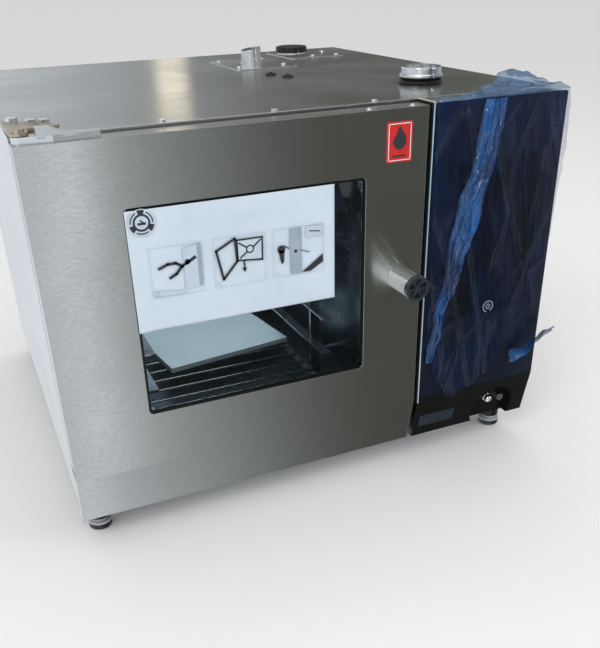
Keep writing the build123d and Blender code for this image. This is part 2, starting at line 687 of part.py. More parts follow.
def window_ring(outer_grow, inner_grow, corner):
    """A rectangular ring round the window opening."""
    centre = (sum(WINDOW_X) / 2, sum(WINDOW_Z) / 2)
    wide, high = WINDOW_X[1] - WINDOW_X[0], WINDOW_Z[1] - WINDOW_Z[0]
    with Locations(centre):
        RectangleRounded(wide + 2 * outer_grow, high + 2 * outer_grow, corner)
        if inner_grow is not None:
            RectangleRounded(wide + 2 * inner_grow, high + 2 * inner_grow, corner, mode=Mode.SUBTRACT)


with BuildPart() as door_skin:
    with BuildSketch(Plane.YZ.offset(-HALF)):
        door_profile(0)
    extrude(amount=HALF + DOOR_RIGHT)
    with BuildSketch(Plane.YZ.offset(-HALF + SHEET)):
        door_profile(SHEET)
    extrude(amount=HALF + DOOR_RIGHT - 2 * SHEET, mode=Mode.SUBTRACT)
    with BuildSketch(Plane.XZ.offset(-FRONT)):
        window_ring(0, None, 8)
        with Locations(HANDLE):
            Circle(7.5)
    extrude(amount=-SHEET, mode=Mode.SUBTRACT)
    slot_z = grown(TONGUE_Z, 4)
    block((-HALF, -HALF + SHEET), (FRONT + 3, FRONT + DOOR_THICK), slot_z, Mode.SUBTRACT)
save(door_skin, "door_skin")

DOOR_BACK = FRONT + DOOR_THICK
with BuildPart() as door_back:
    block(
        (-HALF + SHEET, DOOR_RIGHT - SHEET),
        (DOOR_BACK - SHEET, DOOR_BACK),
        (DOOR_BOTTOM + SHEET, DOOR_TOP - SHEET),
    )
    with BuildSketch(Plane.XZ.offset(-DOOR_BACK)):
        window_ring(12, None, 10)
        with Locations(HANDLE):
            Circle(7.5)
    extrude(amount=SHEET, mode=Mode.SUBTRACT)
    block((-HALF + SHEET, PIVOT[0] + 10), (DOOR_BACK - SHEET, DOOR_BACK), slot_z, Mode.SUBTRACT)
save(door_back, "door_back_frame")

with BuildPart() as trim:
    with BuildSketch(Plane.XZ.offset(-FRONT - SHEET)):
        window_ring(10, -4, 6)
    extrude(amount=-1)
save(trim, "window_trim")

with BuildPart() as outer_glass:
    with BuildSketch(Plane.XZ.offset(-FRONT - SHEET - 1)):
        window_ring(10, None, 6)
    extrude(amount=-4)
save(outer_glass, "door_outer_glass")

INNER_GLASS_Y = DOOR_BACK - SHEET
with BuildPart() as inner_glass:
    with BuildSketch(Plane.XZ.offset(-INNER_GLASS_Y)):
        window_ring(22, None, 6)
    extrude(amount=4)
save(inner_glass, "door_inner_glass")

# corner clips that clamp the inner glass against the door's back
with BuildPart() as clips:
    for side, edge in ((-1, WINDOW_X[0] - 22), (1, WINDOW_X[1] + 22)):
        for clip_z in (WINDOW_Z[0] + 40, WINDOW_Z[1] - 40):
            tall = (clip_z - 12, clip_z + 12)
            foot = sorted((edge, edge + side * 8))
            finger = sorted((edge - side * 14, edge + side * 8))
            block(foot, (INNER_GLASS_Y - 7, INNER_GLASS_Y), tall)
            block(finger, (INNER_GLASS_Y - 7, INNER_GLASS_Y - 4), tall)
save(clips, "glass_clips")

with BuildPart() as badge:
    block((101, 145), (FRONT - 1.2, FRONT), (577, 637))
    fillet(badge.edges().filter_by(Axis.Y), 2)
save(badge, "door_badge")

with BuildPart() as sheet:
    block((WINDOW_X[0], 12), (FRONT - 1.4, FRONT - 0.4), (375, 557))
save(sheet, "instruction_sheet")

# ======== handle and latch ========

HUB_R = 20
CAP_DEEP = 9
with BuildPart() as hub:
    bar((HANDLE[0], FRONT - HUB_OUT + CAP_DEEP, HANDLE[1]), (HANDLE[0], FRONT - 0.3, HANDLE[1]), HUB_R)
    bar((HANDLE[0], FRONT - 0.3, HANDLE[1]), (HANDLE[0], FACE + 17, HANDLE[1]), 7)
    bar(
        (HANDLE[0], FRONT - HUB_OUT + 20, HANDLE[1]),
        (HANDLE[0], FRONT - HUB_OUT + 20, HANDLE[1] + HUB_R),
        3,
        Mode.SUBTRACT,
    )
    chamfer(hub.edges().filter_by(GeomType.CIRCLE).group_by(Axis.Y)[0], 1)
save(hub, "handle_hub")

# spoked end cap
CAP_BACK = FRONT - HUB_OUT + CAP_DEEP
with BuildPart() as cap:
    bar((HANDLE[0], CAP_BACK, HANDLE[1]), (HANDLE[0], CAP_BACK - CAP_DEEP, HANDLE[1]), HUB_R + 1)
    with BuildSketch(Plane.XZ.offset(-CAP_BACK + CAP_DEEP)):
        with Locations(HANDLE):
            Circle(HUB_R - 3.5)
            Circle(4, mode=Mode.SUBTRACT)
            with PolarLocations(10, 6):
                Rectangle(16, 2.2, mode=Mode.SUBTRACT)
    extrude(amount=-(CAP_DEEP - 2), mode=Mode.SUBTRACT)
    chamfer(cap.edges().filter_by(GeomType.CIRCLE).group_by(Axis.Y)[-1], 0.8)
save(cap, "handle_cap")

with BuildPart() as finger:
    block(
        (HANDLE[0] - 3.5, HANDLE[0] + 3.5),
        (FACE + 17, FACE + 23),
        (HANDLE[1] - 7, HANDLE[1] + FINGER_LONG),
    )
save(finger, "latch_finger")

# keyhole plate and box behind it: the finger goes in upright and turns behind the plate
with BuildPart() as striker:
    block(CATCH_X, (FACE, FACE + 32), CATCH_Z)
    block(grown(CATCH_X, -2), (FACE + 3, FACE + 30), grown(CATCH_Z, -2), Mode.SUBTRACT)
    bar((HANDLE[0], FACE, HANDLE[1]), (HANDLE[0], FACE + 3, HANDLE[1]), 10.5, Mode.SUBTRACT)
    block(
        (HANDLE[0] - 7, HANDLE[0] + 7),
        (FACE, FACE + 3),
        (HANDLE[1], HANDLE[1] + FINGER_LONG + 5),
        Mode.SUBTRACT,
    )
save(striker, "latch_striker")

# ======== feet ========

with BuildPart() as collars:
    for foot_x in (-FOOT_X, FOOT_X):
        for foot_y in FOOT_Y:
            bar((foot_x, foot_y, 22), (foot_x, foot_y, PAN_Z), 19)
            bar((foot_x, foot_y, 22), (foot_x, foot_y, PAN_Z - 3), 13, Mode.SUBTRACT)
save(collars, "foot_collars")

for depth_name, foot_y in zip(("front", "rear"), FOOT_Y):
    for side_name, foot_x in (("left", -FOOT_X), ("right", FOOT_X)):
        with BuildPart() as foot:
            bar((foot_x, foot_y, 0), (foot_x, foot_y, 14), 20)
            bar((foot_x, foot_y, 14), (foot_x, foot_y, PAN_Z - 5), 13 - 2 * RUN_FIT)
            fillet(foot.faces().sort_by(Axis.Z)[0].edges(), 3)
        save(foot, f"foot_{depth_name}_{side_name}")

# ======== protective film ========

FILM_Y = FRONT - 2.5
with BuildPart() as film:
    with BuildSketch(Plane.XZ.offset(-FILM_Y)):
        Polygon(
            (190, 372),
            (232, 560),
            (262, 664),
            (HALF - 6, 664),
            (HALF - 14, 583),
            (HALF, 370),
            (HALF, 226),
            (393, 204),
            (364, 164),
            (320, 150),
            (236, 136),
            (196, 201),
            (187, 228),
            align=None,
        )
    extrude(amount=-1.2)
    with BuildSketch(Plane.XY.offset(ROOF_Z + 2.5)):
        Polygon(
            (262, FILM_Y),
            (HALF - 6, FILM_Y),
            (HALF - 2, FACE + 60),
            (400, FACE + 120),
            (330, FACE + 40),
            (280, FACE - 10),
            align=None,
        )
    extrude(amount=1.5)
save(film, "protective_film")
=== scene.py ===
import math

import bmesh
import bpy
from mathutils import Matrix, Vector, noise


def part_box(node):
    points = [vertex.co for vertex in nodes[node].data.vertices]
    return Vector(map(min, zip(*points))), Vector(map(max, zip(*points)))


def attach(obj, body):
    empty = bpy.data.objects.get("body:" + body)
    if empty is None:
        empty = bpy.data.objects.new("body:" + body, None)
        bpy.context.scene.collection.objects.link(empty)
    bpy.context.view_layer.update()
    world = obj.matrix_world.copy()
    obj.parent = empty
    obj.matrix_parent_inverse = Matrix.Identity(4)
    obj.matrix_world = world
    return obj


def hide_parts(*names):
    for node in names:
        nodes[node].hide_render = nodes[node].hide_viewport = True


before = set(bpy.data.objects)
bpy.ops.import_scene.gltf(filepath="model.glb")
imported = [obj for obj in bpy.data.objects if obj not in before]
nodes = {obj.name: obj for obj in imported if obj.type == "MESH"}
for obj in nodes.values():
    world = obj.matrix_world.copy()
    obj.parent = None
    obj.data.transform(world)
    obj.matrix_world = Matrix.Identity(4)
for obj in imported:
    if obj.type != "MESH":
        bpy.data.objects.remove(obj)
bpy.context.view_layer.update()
scene = bpy.context.scene
scene.view_settings.view_transform = "Standard"

# ======== where things are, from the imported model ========

DOOR_LOW, DOOR_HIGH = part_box("door_skin")
GLASS_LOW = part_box("panel_glass")[0]
PAPER_LOW, PAPER_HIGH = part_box("instruction_sheet")
SCREEN_LOW, SCREEN_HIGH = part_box("display_module")
BADGE_LOW, BADGE_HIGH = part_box("door_badge")
STRIP_LOW, STRIP_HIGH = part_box("edge_strip")
FRONT = DOOR_LOW.y
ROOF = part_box("roof_panel")[1].z


# ======== node materials ========


class Look:
    """One node material: a Principled shader and short ways to wire textures into it."""

    def __init__(self, name, color, rough=0.5, metal=0.0, **numbers):
        self.material = bpy.data.materials.new(name)
        self.material.use_nodes = True
        self.tree = self.material.node_tree
        self.bsdf = self.tree.nodes["Principled BSDF"]
        self.bsdf.inputs["Base Color"].default_value = (*color, 1)
        self.bsdf.inputs["Roughness"].default_value = rough
        self.bsdf.inputs["Metallic"].default_value = metal
        for key, value in numbers.items():
            self.bsdf.inputs[key.replace("_", " ")].default_value = value
        self.color = color
        self.rough = rough
        self.coords = self.add("ShaderNodeTexCoord").outputs["Object"]

    def add(self, kind, inputs=None, **props):
        n = self.tree.nodes.new(kind)
        for key, value in props.items():
            setattr(n, key, value)
        for key, value in (inputs or {}).items():
            if isinstance(value, bpy.types.NodeSocket):
                self.tree.links.new(value, n.inputs[key])
            else:
                n.inputs[key].default_value = value
        return n

    def link(self, source, key):
        self.tree.links.new(source, self.bsdf.inputs[key])

    def noise(self, scale, detail=4.0, rough=0.6, offset=(0, 0, 0), distortion=0.0):
        """Noise stretched by scale, a cell count per metre along X, Y and Z."""
        mapping = self.add("ShaderNodeMapping", {0: self.coords, "Scale": scale, "Location": offset})
        found = self.add(
            "ShaderNodeTexNoise",
            {"Vector": mapping.outputs[0], "Scale": 1, "Detail": detail, "Roughness": rough,
             "Distortion": distortion},
        )
        return found.outputs["Fac"]

    def remap(self, value, low, high, to_low=0.0, to_high=1.0):
        found = self.add(
            "ShaderNodeMapRange",
            {"Value": value, "From Min": low, "From Max": high, "To Min": to_low, "To Max": to_high},
        )
        return found.outputs[0]

    def math(self, how, a, b=0.0):
        return self.add("ShaderNodeMath", {0: a, 1: b}, operation=how).outputs[0]

    def mix(self, share, a, b):
        found = self.add("ShaderNodeMix", data_type="RGBA")
        for key, value in (("Factor", share), ("A", a), ("B", b)):
            socket = next(s for s in found.inputs if s.name == key and s.enabled)
            if isinstance(value, bpy.types.NodeSocket):
                self.tree.links.new(value, socket)
            elif key == "Factor":
                socket.default_value = value
            else:
                socket.default_value = (*value, 1)
        return next(s for s in found.outputs if s.enabled)

    def bump(self, height, strength, depth, edge=0.0):
        """Relief of that depth in metres, over edges rounded to radius edge."""
        inputs = {"Height": height, "Strength": strength, "Distance": depth}
        if edge:
            inputs["Normal"] = self.add("ShaderNodeBevel", {"Radius": edge}, samples=4).outputs[0]
        self.link(self.add("ShaderNodeBump", inputs).outputs[0], "Normal")


def shade(color, factor):
    return tuple(min(1.0, c * factor) for c in color)


def brushed(name, color, grain, rough=0.27, across="X", strength=0.2, turn=0.75, edge=0.0013):
    """Brushed sheet: short bright dashes along the grain, faint smears and rounded bright edges."""
    look = Look(name, color, rough, 1.0, Anisotropic=turn)
    dash = look.noise(grain, 3.0, 0.7)
    fine = look.noise(tuple(g * 2.7 for g in grain), 2.0, 0.6, (3.1, 1.7, 5.3))
    smear = look.noise((5, 5, 5), 4.0, 0.55, (7, 2, 4), 0.6)
    lines = look.math("ADD", look.math("MULTIPLY", dash, 0.55), look.math("MULTIPLY", fine, 0.45))
    streak = look.remap(lines, 0.32, 0.68)
    toned = look.mix(streak, shade(color, 0.84), shade(color, 1.15))
    dull = look.remap(smear, 0.35, 0.75)
    faded = look.math("MULTIPLY", dull, 0.35)
    look.link(look.mix(faded, toned, shade(color, 0.82)), "Base Color")
    base_rough = look.remap(streak, 0, 1, rough + 0.07, rough - 0.06)
    look.link(look.math("ADD", base_rough, look.math("MULTIPLY", dull, 0.08)), "Roughness")
    look.bump(lines, strength, 0.00012, edge)
    tangent = look.add("ShaderNodeTangent", direction_type="RADIAL", axis=across)
    look.link(tangent.outputs[0], "Tangent")
    return look.material


def plain(
    name, color, rough, grain=900, spread=0.18, relief=0.15, depth=0.0002, metal=0.0, edge=0.0,
    wear=(1, 1, 1), **numbers,
):
    """Moulded, cast or painted stuff: fine texture, soft cloudy tone and scuffs that change the gloss."""
    look = Look(name, color, rough, metal, **numbers)
    fine = look.noise((grain,) * 3, 5.0, 0.65)
    cloud = look.noise((14, 14, 14), 4.0, 0.6, (2, 5, 1))
    scuff = look.remap(look.noise((55, 55, 55), 6.0, 0.7, (9, 4, 6), 1.2), 0.58, 0.72)
    tone = look.mix(look.remap(cloud, 0.3, 0.7), shade(color, 1 - spread), shade(color, 1 + spread))
    rubbed = tuple(c * 0.5 + w * 0.08 for c, w in zip(color, wear))
    worn = look.mix(look.math("MULTIPLY", scuff, 0.25), tone, rubbed)
    look.link(worn, "Base Color")
    rough_low = look.remap(fine, 0.3, 0.7, rough - 0.06, rough + 0.06)
    look.link(look.math("ADD", rough_low, look.math("MULTIPLY", scuff, 0.12)), "Roughness")
    look.bump(fine, relief, depth, edge)
    return look.material


def polished(name, color, rough=0.12):
    look = Look(name, color, rough, 1.0)
    turned = look.noise((180, 1400, 180), 2.0, 0.5)
    smudge = look.noise((40, 40, 40), 5.0, 0.65, (1, 8, 3), 0.8)
    look.link(look.mix(look.remap(smudge, 0.4, 0.7), color, shade(color, 0.8)), "Base Color")
    look.link(look.remap(smudge, 0.3, 0.75, rough - 0.04, rough + 0.16), "Roughness")
    look.bump(turned, 0.12, 0.0001, 0.0006)
    return look.material


STEEL = (0.56, 0.57, 0.56)
door_steel = brushed("door_steel", STEEL, (90, 1300, 1300), 0.17, "X", 0.25, 0.93)
side_steel = brushed("side_steel", (0.62, 0.62, 0.62), (1300, 110, 1300), 0.22, "Y", 0.15)
roof_steel = brushed("roof_steel", (0.58, 0.59, 0.59), (140, 900, 900), 0.15, "X", 0.15, 0.9)
back_steel = brushed("back_steel", (0.55, 0.55, 0.55), (110, 1300, 1300), 0.32)
trim_steel = brushed("trim_steel", (0.68, 0.69, 0.69), (1300, 110, 1300), 0.2, "Z", 0.15, 0.5, 0.0008)
galvanised = plain("galvanised", (0.42, 0.43, 0.44), 0.42, 120, 0.3, 0.1, 0.0003, 1.0, 0.0006)
# painted shade: the chamber and fan guard steel is a darker copy of the steel, with a painted blue tint of the
# light in the cavity
chamber_steel = brushed("chamber_steel", (0.16, 0.19, 0.22), (100, 100, 1000), 0.25, "Z", 0.15, 0.3, 0.0)
chrome = polished("chrome", (0.8, 0.81, 0.82), 0.1)
hub_steel = brushed("hub_steel", (0.85, 0.86, 0.83), (1300, 110, 1300), 0.16, "Y", 0.1, 0.3, 0.0008)

wire_steel = polished("wire_steel", (0.2, 0.22, 0.23), 0.2)
guide_steel = polished("guide_steel", (0.5, 0.53, 0.55), 0.14)
arm_metal = plain("arm_metal", (0.72, 0.73, 0.74), 0.34, 500, 0.1, 0.2, 0.0002, 1.0, 0.0012)
hinge_metal = plain("hinge_metal", (0.5, 0.43, 0.34), 0.4, 300, 0.15, 0.15, 0.0002, 1.0, 0.001)
rubber = plain("rubber", (0.006, 0.006, 0.007), 0.42, 700, 0.3, 0.2, 0.0002, wear=(0.2, 0.2, 0.2))
black_plastic = plain(
    "black_plastic", (0.004, 0.0048, 0.0046), 0.3, 1200, 0.25, 0.12, 0.0001,
    edge=0.0008, wear=(0.1, 0.1, 0.1), Specular_IOR_Level=0.3,
)
cap_plastic = plain(
    "cap_plastic", (0.03, 0.036, 0.045), 0.16, 900, 0.2, 0.1, 0.0001, edge=0.0008, Coat_Weight=0.6
)
grey_plastic = plain("grey_plastic", (0.16, 0.16, 0.17), 0.5, 1000, 0.15, 0.2, 0.0002)
cast_metal = plain("cast_metal", (0.5, 0.5, 0.5), 0.42, 500, 0.2, 0.4, 0.0004, 1.0)
brass = plain("brass", (0.62, 0.45, 0.18), 0.3, 300, 0.25, 0.15, 0.0002, 1.0)
tube_metal = plain("tube_metal", (0.16, 0.14, 0.13), 0.45, 600, 0.35, 0.3, 0.0003, 1.0)
wool = plain("wool", (0.55, 0.5, 0.36), 0.95, 260, 0.3, 1.0, 0.002)
board_green = plain("board_green", (0.02, 0.11, 0.05), 0.4, 240, 0.5, 0.6, 0.0006)
plate_blue = plain("plate_blue", (0.018, 0.028, 0.04), 0.3, 700, 0.2, 0.1, 0.0001)


def black_glass():
    """Touch glass: near black with a blue depth, and a blacker rectangle where the screen lies behind it."""
    look = Look("black_glass", (0.004, 0.006, 0.013), 0.05, 0.0, Coat_Weight=0.6, Coat_Roughness=0.03)
    split = look.add("ShaderNodeSeparateXYZ", {0: look.coords})

    def inside(axis, low, high, soft=0.0012):
        at = split.outputs[axis]
        over = look.remap(at, low - soft, low + soft)
        under = look.remap(at, high - soft, high + soft, 1, 0)
        return look.math("MULTIPLY", over, under)

    screen = look.math(
        "MULTIPLY",
        inside("X", SCREEN_LOW.x, SCREEN_HIGH.x),
        inside("Z", SCREEN_LOW.z, SCREEN_HIGH.z),
    )
    smear = look.remap(look.noise((9, 9, 6), 5.0, 0.6, (1, 2, 8), 1.0), 0.35, 0.7)
    ground = look.mix(smear, (0.004, 0.006, 0.014), (0.006, 0.012, 0.03))
    look.link(look.mix(screen, ground, (0.0015, 0.0014, 0.0014)), "Base Color")
    look.link(look.remap(smear, 0, 1, 0.035, 0.11), "Roughness")
    look.bump(smear, 0.05, 0.0002)
    return look.material


def clear_pane(name, tint, hidden):
    """Clear glass sheet. The part of its area not hidden lets light straight through."""
    look = Look(name, tint, 0.03, 0.0, IOR=1.5, Coat_Weight=0.3, Coat_Roughness=0.02)
    smear = look.noise((7, 7, 7), 5.0, 0.6, (4, 1, 2), 0.8)
    look.link(look.remap(smear, 0.35, 0.75, 0.02, 0.09), "Roughness")
    facing = look.add("ShaderNodeFresnel", {"IOR": 1.45}).outputs[0]
    film = look.remap(smear, 0.3, 0.8, hidden * 0.8, hidden * 1.25)
    look.link(look.math("ADD", film, look.math("MULTIPLY", facing, 0.75)), "Alpha")
    return look.material


def film_look(name, low, high, hidden, lit):
    """Blue protective film: clear where flat, more opaque in its creases with a painted highlight of lighter
    blue along them, and milky blue where it lies on the pale roof.
    """
    look = Look(name, low, 0.16, 0.0, IOR=1.5, Coat_Weight=0.6, Coat_Roughness=0.05)
    long = look.noise((70, 70, 9), 5.0, 0.62, (3, 6, 1), 0.9)
    crumple = look.noise((45, 45, 45), 6.0, 0.6, (8, 3, 2), 0.6)
    crease = look.remap(look.math("ABSOLUTE", look.math("SUBTRACT", long, 0.5)), 0.0, 0.012, 1.0, 0.0)
    cloud = look.remap(look.noise((14, 14, 7), 4.0, 0.6, (5, 5, 5)), 0.4, 0.68)
    height = look.add("ShaderNodeSeparateXYZ", {0: look.coords}).outputs["Z"]
    top = look.remap(height, ROOF - 0.004, ROOF + 0.002)
    tone = look.mix(cloud, low, high)
    # painted highlight: the creases are coloured toward the lit blue
    tone = look.mix(look.math("MULTIPLY", crease, 0.35), tone, lit)
    on_roof = look.mix(cloud, (0.008, 0.055, 0.16), (0.03, 0.16, 0.33))
    look.link(look.mix(top, tone, on_roof), "Base Color")
    look.link(look.remap(crumple, 0.3, 0.7, 0.06, 0.22), "Roughness")
    cover = look.remap(cloud, 0, 1, hidden * 0.75, hidden * 1.2)
    cover = look.math("ADD", cover, look.math("MULTIPLY", crease, 0.18))
    look.link(look.math("MAXIMUM", cover, look.math("MULTIPLY", top, 0.72)), "Alpha")
    relief = look.math("ADD", look.math("MULTIPLY", long, 0.6), look.math("MULTIPLY", crumple, 0.6))
    look.bump(relief, 0.5, 0.0022)
    return look.material


def paper_look(name, color, sheen=0.35):
    look = Look(name, color, 0.55, 0.0, Specular_IOR_Level=sheen)
    fibre = look.noise((900, 900, 900), 4.0, 0.7)
    cloud = look.noise((11, 11, 11), 4.0, 0.6, (2, 9, 4))
    look.link(look.mix(look.remap(cloud, 0.3, 0.7), shade(color, 0.93), shade(color, 1.03)), "Base Color")
    look.link(look.remap(fibre, 0.3, 0.7, 0.45, 0.62), "Roughness")
    look.bump(fibre, 0.25, 0.00008)
    return look.material


def strip_shade_and_highlight_look():
    """Edge strip: a painted highlight in pale cream on top, a light blue line along the front edge that is
    partly its own colour and partly painted highlight, and painted shade on the sides and on the left edge of
    the front, where the gap beside the door falls dark.
    """
    look = Look("edge_strip", (0.02, 0.022, 0.026), 0.35, 0.0)
    split = look.add("ShaderNodeSeparateXYZ", {0: look.coords})
    front = look.remap(split.outputs["Y"], STRIP_LOW.y + 0.0003, STRIP_LOW.y + 0.0009, 1, 0)
    right = look.remap(split.outputs["X"], STRIP_LOW.x + 0.001, STRIP_LOW.x + 0.0016)
    top = look.remap(split.outputs["Z"], STRIP_HIGH.z - 0.0008, STRIP_HIGH.z - 0.0003)
    grain = look.noise((600, 600, 90), 4.0, 0.6)
    fade = look.remap(look.noise((20, 20, 6), 4.0, 0.6, (4, 4, 1)), 0.3, 0.7)
    blue = look.mix(fade, (0.2, 0.42, 0.56), (0.5, 0.66, 0.72))
    # painted shade: the sides and the left edge of the front are near black, as the gap beside the door is in
    # shade; the light blue front is partly painted highlight
    tone = look.mix(look.math("MULTIPLY", front, right), (0.012, 0.013, 0.014), blue)
    # painted highlight: the top face is pale cream where light falls on it
    look.link(look.mix(top, tone, (0.72, 0.68, 0.45)), "Base Color")
    look.link(look.remap(grain, 0.3, 0.7, 0.28, 0.42), "Roughness")
    look.bump(grain, 0.1, 0.0001)
    return look.material


def foot_look():
    """Levelling foot: black rubber tread, pale moulded body above it."""
    look = Look("foot", (0.5, 0.53, 0.56), 0.45, 0.0)
    height = look.add("ShaderNodeSeparateXYZ", {0: look.coords}).outputs["Z"]
    tread = look.remap(height, 0.0105, 0.0112, 1, 0)
    cloud = look.remap(look.noise((60, 60, 60), 5.0, 0.65), 0.3, 0.7)
    grain = look.noise((900, 900, 900), 4.0, 0.6)
    pale = look.mix(cloud, (0.36, 0.39, 0.42), (0.55, 0.58, 0.62))
    black = look.mix(cloud, (0.006, 0.006, 0.007), (0.014, 0.014, 0.015))
    look.link(look.mix(tread, pale, black), "Base Color")
    look.link(look.remap(grain, 0.3, 0.7, 0.36, 0.52), "Roughness")
    look.bump(grain, 0.2, 0.0002)
    return look.material


touch_glass = black_glass()
strip_shade_and_highlight = strip_shade_and_highlight_look()
foot_rubber = foot_look()
outer_glass = clear_pane("outer_glass", (0.012, 0.018, 0.02), 0.06)
inner_glass = clear_pane("inner_glass", (0.012, 0.016, 0.018), 0.05)
film_flat = film_look("film_flat", (0.001, 0.005, 0.03), (0.002, 0.02, 0.1), 0.32, (0.03, 0.1, 0.24))
film_fold = film_look("film_fold", (0.001, 0.022, 0.1), (0.002, 0.1, 0.36), 0.85, (0.1, 0.35, 0.75))
white_paper = paper_look("white_paper", (0.6, 0.69, 0.79))
leaflet_paper = paper_look("leaflet_paper", (0.62, 0.76, 0.82))
badge_red = plain("badge_red", (0.6, 0.02, 0.018), 0.28, 800, 0.12, 0.1, 0.0001)
ink_dark = plain("ink_dark", (0.025, 0.03, 0.038), 0.5, 900, 0.25, 0.1, 0.00005)
ink_grey = plain("ink_grey", (0.3, 0.36, 0.45), 0.5, 900, 0.2, 0.1, 0.00005)
ink_light = plain("ink_light", (0.52, 0.6, 0.7), 0.5, 900, 0.12, 0.1, 0.00005)
print_white = plain("print_white", (0.75, 0.8, 0.85), 0.4, 900, 0.08, 0.1, 0.00005)
screen_black = plain("screen_black", (0.004, 0.004, 0.005), 0.12, 500, 0.2, 0.05, 0.00005)

LOOKS = {
    door_steel: "door_skin front_frame",
    side_steel: "side_panel_left side_panel_right",
    roof_steel: "roof_panel",
    back_steel: "back_panel flue_flap",
    galvanised: "base_pan panel_frame cooling_fan_frame",
    hinge_metal: "hinge_brackets",
    arm_metal: "hinge_arms",
    cap_plastic: "handle_cap",
    trim_steel: "door_back_frame roof_plates flue_pipe",
    chamber_steel: "chamber_liner fan_guard",
    chrome: "roof_screws latch_striker glass_clips chin_sockets breather_ring",
    hub_steel: "handle_hub latch_finger",
    wire_steel: "grid_shelf fan_wheel",
    guide_steel: "rack_uprights tray_ledges",
    rubber: "chamber_gasket breather_bellows roof_grommets vent_cap",
    strip_shade_and_highlight: "edge_strip",
    black_plastic: "chin_moulding window_trim foot_collars cable_gland",
    grey_plastic: "flap_actuator drain_siphon cooling_fan_rotor chamber_lamp",
    cast_metal: "fan_motor",
    foot_rubber: "foot_front_left foot_front_right foot_rear_left foot_rear_right",
    brass: "water_valves",
    tube_metal: "heating_element",
    wool: "insulation",
    board_green: "control_boards",
    plate_blue: "rating_plate",
    touch_glass: "panel_glass",
    screen_black: "display_module",
    outer_glass: "door_outer_glass",
    inner_glass: "door_inner_glass",
    leaflet_paper: "leaflet_pack",
    badge_red: "door_badge",
    film_flat: "protective_film",
    white_paper: "instruction_sheet",
}
for material, names in LOOKS.items():
    for name in names.split():
        if name in nodes:
            nodes[name].data.materials.clear()
            nodes[name].data.materials.append(material)

# ======== mesh helpers ========


def piece(name, points, faces, material, body, smooth=True):
    mesh = bpy.data.meshes.new(name)
    mesh.from_pydata([tuple(p) for p in points], [], faces)
    mesh.materials.append(material)
    if smooth:
        mesh.shade_smooth()
    found = bpy.data.objects.new(name, mesh)
    scene.collection.objects.link(found)
    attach(found, body)
    return found


def grid(rows, cols, at):
    """Points at(u, v) over the unit square, and the faces between them."""
    points = [at(i / (cols - 1), j / (rows - 1)) for j in range(rows) for i in range(cols)]
    faces = [
        (j * cols + i, j * cols + i + 1, (j + 1) * cols + i + 1, (j + 1) * cols + i)
        for j in range(rows - 1)
        for i in range(cols - 1)
    ]
    return points, faces


def between(x, stops):
    """A smooth value at x through given (x, value) stops."""
    if x <= stops[0][0]:
        return stops[0][1]
    for (x0, v0), (x1, v1) in zip(stops, stops[1:]):
        if x <= x1:
            t = (x - x0) / (x1 - x0)
            return v0 + (v1 - v0) * t * t * (3 - 2 * t)
    return stops[-1][1]


def crest(p, sharp=6):
    """1 on thin crest lines through smooth noise and near 0 between them."""
    return (1 - min(1.0, abs(noise.noise(p)) * 1.6)) ** sharp


# ======== protective film over the control panel ========

PANEL_Y = GLASS_LOW.y


def film_height(x, z, along=1.0):
    """How far the film stands off what it covers."""
    tall = crest(Vector((x * 24 + z * 7, z * 2.6, 1.7)), 12)
    leaning = crest(Vector((x * 15 - z * 9, z * 4 + x * 4, 8.3)), 14)
    small = crest(Vector((x * 60, z * 20, 4.4)), 6) * max(0.0, noise.noise(Vector((x * 6, z * 5, 9.9))) + 0.15)
    swell = noise.noise(Vector((x * 9, z * 5, 2.2)))
    return 0.0012 + 0.0038 * tall + 0.0034 * leaning + 0.0012 * small + 0.0018 * max(0.0, swell)


def film_left(z):
    return between(z, [(0.12, 0.212), (0.2, 0.197), (0.23, 0.189), (0.45, 0.188), (0.66, 0.187)])


def film_right(z):
    return between(
        z,
        [
            (0.16, 0.375), (0.2, 0.392), (0.235, 0.425), (0.27, 0.42), (0.32, 0.421),
            (0.37, 0.43), (0.43, 0.4385), (0.5, 0.44), (0.6, 0.441), (0.66, 0.44),
        ],
    )


def film_bottom(x):
    return between(
        x,
        [
            (0.187, 0.226), (0.196, 0.2), (0.215, 0.165), (0.234, 0.135), (0.27, 0.137),
            (0.3, 0.146), (0.322, 0.15), (0.345, 0.163), (0.364, 0.165), (0.38, 0.182),
            (0.393, 0.204), (0.41, 0.214), (0.44, 0.222),
        ],
    )


def roof_reach(x):
    """How far back over the roof the film goes."""
    stops = [(0.186, 0.003), (0.245, 0.004), (0.27, 0.03), (0.33, 0.075), (0.39, 0.125), (0.44, 0.15)]
    return between(x, stops)


def film_point(u, v):
    fold = 0.8
    if v <= fold:
        t = v / fold
        x = 0.187 + u * 0.2545
        low = film_bottom(x)
        z = low + (ROOF + 0.002 - low) * t
        x = film_left(z) + u * (film_right(z) - film_left(z))
        out = film_height(x, z)
        loose = between(z, [(0.13, 1.0), (0.3, 0.55), (0.5, 0.25), (0.62, 0.6), (0.66, 0.2)])
        flare = 0.010 * loose * max(0.0, noise.noise(Vector((x * 13, z * 7, 5.5))) + 0.25)
        tuck = between(t, [(0.93, 1.0), (1.0, 0.35)])
        return Vector((x, PANEL_Y - (out + flare) * tuck, z))
    t = (v - fold) / (1 - fold)
    x = film_left(ROOF) + u * (film_right(ROOF) - film_left(ROOF))
    back = roof_reach(x) * t
    hump = 0.019 * math.exp(-(((x - 0.4) / 0.03) ** 2) - (((back - 0.1) / 0.035) ** 2))
    coarse = crest(Vector((x * 30, back * 30, 7.7)), 3)
    fine = abs(noise.noise(Vector((x * 60, back * 60, 3))))
    crumple = 0.005 * coarse + 0.003 * fine
    ease = between(t, [(0.0, 0.15), (0.12, 1.0)])
    return Vector((x + 0.004 * t * u, PANEL_Y + back, ROOF + 0.0018 + (hump + crumple) * ease))


points, faces = grid(230, 100, film_point)
film = piece("film_sheet", points, faces, film_flat, "cabinet")


